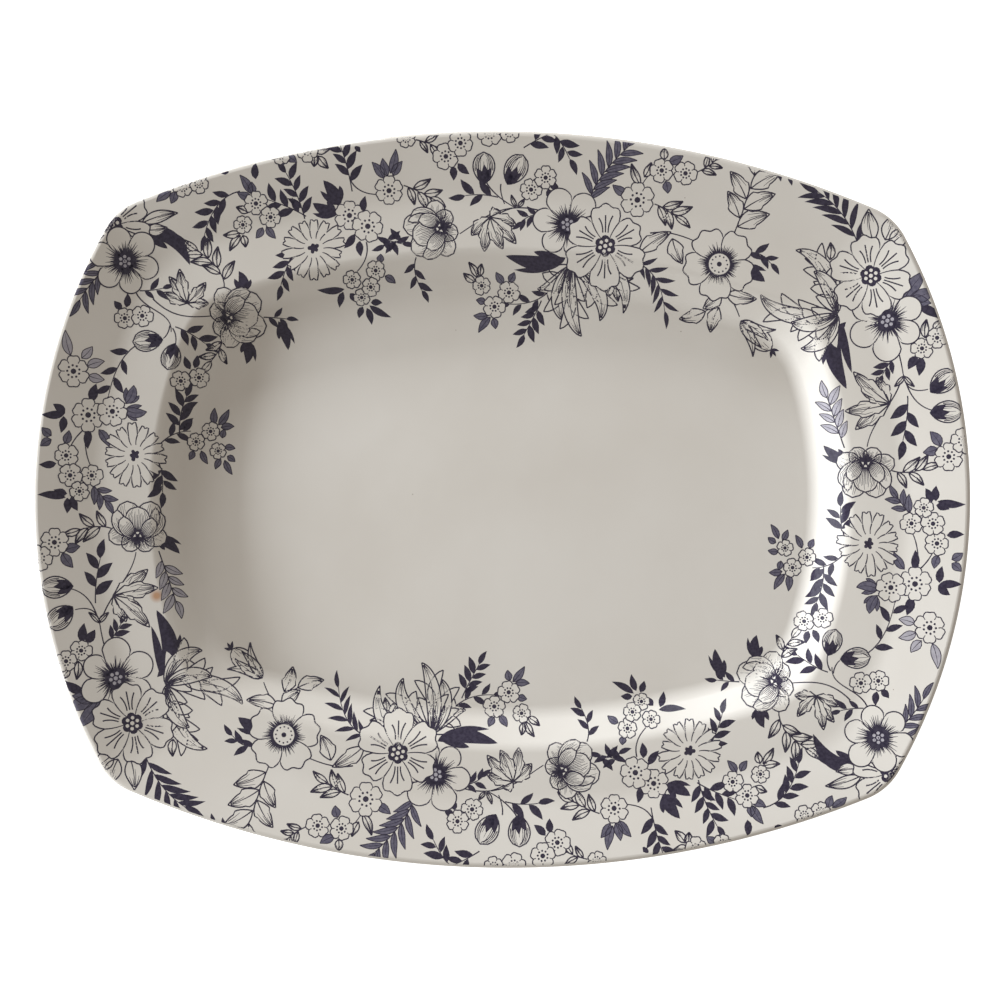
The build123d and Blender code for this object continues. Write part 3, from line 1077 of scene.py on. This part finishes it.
# %% Stems
for points in [
    [(-140, 77.5), (-136.5, 70), (-126, 70.5), (-126.5, 62.5)],
    [(-127, 65), (-127.5, 61.5), (-129.5, 60)],
    [(-126, 64), (-124, 61), (-125, 57)],
    [(-133.5, 75), (-126, 67.5), (-119, 68), (-111, 69)],
    [(-158.5, 25.5), (-163.5, 21), (-164.5, 16.5)],
    [(-158.5, 25), (-159, 15.5), (-156, 10.5)],
    [(-52.5, 97.5), (-51, 91.5), (-56, 86.5)],
    [(-59, 121.5), (-56.5, 115.5), (-48, 115.5)],
    [(-7, 120.5), (-5, 117), (0, 113), (4.5, 111)],
    [(-1.5, 120), (-2, 117), (0, 112.5)],
    [(18, 108.5), (6, 114), (-5, 110.5), (-8, 107), (-17, 101)],
    [(3, 111), (-3.5, 109), (-5.5, 105.5)],
    [(55.5, 102), (63.5, 103.5), (70.5, 100), (77.5, 97)],
    [(83.5, 80.5), (83, 74.5), (74.5, 72)],
    [(85, 80), (88.5, 76), (90.5, 71)],
    [(150, 58.5), (151.5, 54), (152.5, 47.5)],
    [(152.5, 48), (154, 41.5), (161.5, 43.5)],
    [(153.5, 45.5), (156.5, 37), (163.5, 35.5)],
    [(151.5, 47), (149, 37.5), (140.5, 31.5), (139, 21.5)],
]:
    press(stem(*points))
press(stem((52, 119.5), (53.5, 123.5), (57, 125), weight=0.4))

# %% Loose leaves
# ink, width in mm, and then the base and tip of each leaf
for style, width, *leaves in [
    ("dark", 2.8, ((-145, 71), (-148, 74)), ((-143.5, 71.5), (-143, 77))),
    ("dark", 2.6, ((-119.5, 48.5), (-121.5, 53.5)), ((-118, 49), (-117, 54))),
    ("dark", 3.8, ((-156, 35.5), (-154.5, 42.5))),
    ("dark", 3.2, ((-166, 31), (-175, 30.5)), ((-166, 31), (-170.5, 34.5)),
     ((-166.5, 30), (-167.5, 23.5)), ((-157, 25), (-157.5, 17.5))),
    ("dark", 3, ((-169, 12), (-175.5, 11.5))),
    ("dark", 3.2, ((-165, 0.5), (-170, 2)), ((-165.5, -1), (-176, 0)), ((-165, -1), (-165, -7)),
     ((-163.5, -0.5), (-161, -6))),
    ("dark", 3, ((-57, 100.5), (-61, 95)), ((-55, 98), (-54.5, 92)), ((-54, 108.5), (-53, 115))),
    ("dark", 2.7, ((-61, 80), (-71.5, 79.5)), ((-61.5, 79), (-63, 73)), ((-59, 78.5), (-56.5, 75)),
     ((-54, 73.5), (-55.5, 69)), ((-52.5, 73), (-50.5, 66.5)), ((-51.5, 74), (-43, 69.5)),
     ((-51, 75), (-46.5, 75))),
    ("dark", 3, ((-56.5, 131.5), (-55, 133)), ((-106, 122), (-106.5, 124)),
     ((-94.5, 120.5), (-94.5, 127))),
    ("dark", 3, ((-20, 126.5), (-19.5, 121)), ((-18, 127.5), (-13.5, 123.5))),
    ("dark", 2.8, ((17, 119.5), (20.5, 119)), ((16.5, 118.5), (18.5, 113.5))),
    ("dark", 3.6, ((157, 75), (166.5, 70)), ((157.5, 56), (154, 51)), ((158.5, 56), (158, 48.5))),
    ("mid", 2.8, ((-110.5, 27.5), (-110.5, 34)), ((-109, 27.5), (-105, 33.5)),
     ((-108, 26.5), (-103, 27))),
    ("mid", 3.2, ((-153.5, 25), (-149.5, 18.5)), ((-166, 19.5), (-164.5, 24.5)),
     ((-171, 22.5), (-174.5, 25.5)), ((-171, 21), (-175, 18.5))),
    ("mid", 2.4, ((-118.5, 17.5), (-120, 14)), ((-115.5, 17.5), (-113, 12.5)),
     ((-107.5, 22.5), (-106.5, 26)), ((-108, 14.5), (-110, 10.5)), ((-105.5, 15.5), (-102.5, 13.5)),
     ((-106.5, 14), (-103.5, 8.5)), ((-106.5, 19), (-102.5, 18.5))),
    ("mid", 2.8, ((-92, 102.5), (-94.5, 98.5)), ((-90.5, 103), (-87, 98.5))),
    ("mid", 2.7, ((-45.5, 85), (-41.5, 82.5)), ((-47.5, 90), (-47, 93))),
    ("mid", 3.2, ((-125, 115.5), (-126.5, 111)), ((-126.5, 115.5), (-132, 111.5)),
     ((-96, 113.5), (-101.5, 115.5)), ((-96, 115), (-100.5, 122)), ((-95.5, 115), (-96, 119.5)),
     ((-84, 129.5), (-85, 125)), ((-83, 129.5), (-79, 127))),
    ("mid", 3.2, ((-44.5, 122.5), (-46.5, 129)), ((-46, 121.5), (-50.5, 127.5)),
     ((-42.5, 122.5), (-39, 128)), ((-43.5, 123.5), (-41.5, 132.5))),
    ("mid", 2.8, ((0, 83), (-3, 87)), ((2, 83.5), (4, 87)), ((-6, 70.5), (-11.5, 70.5)),
     ((-5, 70), (-9.5, 64)), ((-4, 69.5), (-3, 65.5)), ((-7, 75.5), (-10.5, 76.5))),
    ("mid", 3.4, ((46.5, 116.5), (41, 120)), ((62, 128.5), (67.5, 131)), ((61, 121.5), (62, 117))),
    ("mid", 5, ((152, 77.5), (160.5, 88.5)), ((153.5, 77.5), (164.5, 82)),
     ((153, 76.5), (162, 76))),
    ("mid", 3.8, ((165.5, 21), (160, 19.5)), ((166.5, 22), (162.5, 27.5))),
    ("pale", 3.6, ((-164, 53), (-166, 62.5)), ((-160, 52), (-156, 56.5)),
     ((-158, 49), (-151.5, 51)), ((-157.5, 45.5), (-151.5, 44))),
]:
    press(sprig(*leaves, width=width, style=style))

# %% [markdown]
# ## Laying the transfer on the glaze
# The flat drawing is now laid over the rim. First it is trimmed where the rim ends: what hangs
# over is slid back to a line just inside the edge, and what is wholly outside goes. Near the
# edge, where the glaze rounds over, long faces are divided so that they can bend. Then each
# corner of the ink drops straight down onto the glaze, settles a hair above it along the
# surface's own normal, and takes that normal, so ink and glaze share one reflection.

# %% Trim at the rim
TRIM = 0.7                  # how far inside the glaze's edge the print stops, mm
LIP, LIP_FACE = 3, 0.45     # width of the lip, and the longest face of ink over it, mm
WALL_START, WALL_END, WALL_FACE = 40, 60, 0.8   # the same for the shoulder and the wall
LONGEST_FACE = 1.6          # longest face of ink elsewhere, mm
corner_spot = corner_centre(0, EDGE_CORNER)


def nearest_side(spot):
    """Centre and radius of the arc of the outline that is nearest to a place, in one quarter."""
    offset = spot - corner_spot
    past_long = (corner_spot - LONG_CENTRE).angle_signed(offset) if offset.length else 0
    past_short = (corner_spot - SHORT_CENTRE).angle_signed(offset) if offset.length else 0
    if past_long > 0 > past_short and abs(past_long) + abs(past_short) < math.pi:
        return corner_spot, EDGE_CORNER
    to_long = LONG_RADIUS - (spot - LONG_CENTRE).length
    to_short = SHORT_RADIUS - (spot - SHORT_CENTRE).length
    return (LONG_CENTRE, LONG_RADIUS) if to_long < to_short else (SHORT_CENTRE, SHORT_RADIUS)


def inset_of(x, y):
    """How far inside the platter's edge a place is, and the place slid back to the trim line."""
    spot = Vector((abs(x), abs(y)))
    centre, radius = nearest_side(spot)
    spoke = spot - centre
    trimmed = centre + spoke.normalized() * (radius - TRIM)
    return radius - spoke.length, math.copysign(trimmed.x, x), math.copysign(trimmed.y, y)


def longest_face(inset):
    """How long a face of ink may be where the glaze bends."""
    if inset < LIP:
        return LIP_FACE
    return WALL_FACE if WALL_START < inset < WALL_END else LONGEST_FACE


def trim(drawing):
    """Cuts a flat drawing off at the rim, and divides its faces there."""
    over = [vert for vert in drawing.verts if inset_of(vert.co.x, vert.co.y)[0] < TRIM]
    lost = set(over)
    outside = [face for face in drawing.faces if all(vert in lost for vert in face.verts)]
    bmesh.ops.delete(drawing, geom=outside, context="FACES")
    for vert in drawing.verts:
        inset, x, y = inset_of(vert.co.x, vert.co.y)
        if inset < TRIM:
            vert.co.x, vert.co.y = x, y
    for _ in range(2):
        long_edges = [edge for edge in drawing.edges if edge.calc_length() > longest_face(
            inset_of(*edge.verts[0].co.xy)[0])]
        bmesh.ops.subdivide_edges(drawing, edges=long_edges, cuts=1, use_grid_fill=True)
    bmesh.ops.triangulate(drawing, faces=[face for face in drawing.faces if len(face.verts) > 4])
    bmesh.ops.dissolve_degenerate(drawing, edges=drawing.edges, dist=0.001)


# %% Lay it down
FIRST_COAT = 0.02           # height of the lowest ink above the glaze, mm
NEXT_COAT = 0.003           # from one level to the next, mm
BAKE_WIDTH = 0.4            # side of the square of table that the ink's UV map covers, m
ground = BVHTree.FromBMesh(glaze_shell)
glaze_shell.normal_update()
glaze_shell.faces.ensure_lookup_table()


def surface_at(x, y):
    """The glaze's place and smooth normal under a place on the table, in metres."""
    hit, _, face_index, _ = ground.ray_cast(Vector((x, y, 1)), Vector((0, 0, -1)))
    face = glaze_shell.faces[face_index]
    shares = poly_3d_calc([vert.co for vert in face.verts], hit)
    normal = sum((vert.normal * share for vert, share in zip(face.verts, shares)), Vector())
    return hit, normal.normalized()


def lay(name, drawing, material):
    """Drapes a flat drawing over the glaze as one piece."""
    trim(drawing)
    bmesh.ops.remove_doubles(drawing, verts=drawing.verts, dist=0.0005)
    bmesh.ops.recalc_face_normals(drawing, faces=drawing.faces)
    downward = [face for face in drawing.faces if face.normal.z < 0]
    bmesh.ops.reverse_faces(drawing, faces=downward)
    normals = []
    for vert in drawing.verts:
        hit, normal = surface_at(vert.co.x * MM, vert.co.y * MM)
        vert.co = hit + normal * (FIRST_COAT + NEXT_COAT * vert.co.z) * MM
        normals.append(normal)
    piece = show(name, drawing, material)
    piece.data.normals_split_custom_set_from_vertices(normals)
    flat = piece.data.uv_layers.new(name="OFBake")
    for loop in piece.data.loops:
        spot = piece.data.vertices[loop.vertex_index].co
        flat.data[loop.index].uv = (0.5 + spot.x / BAKE_WIDTH, 0.5 + spot.y / BAKE_WIDTH)
    piece.visible_shadow = False
    return piece


for half in "ab":
    for ink, material in FINISHES.items():
        print_piece = lay(f"border_{ink}_{half}", flat_border[ink, half], material)
        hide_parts(f"border_transfer_{half}")
        print(print_piece.name, "faces:", len(print_piece.data.polygons))
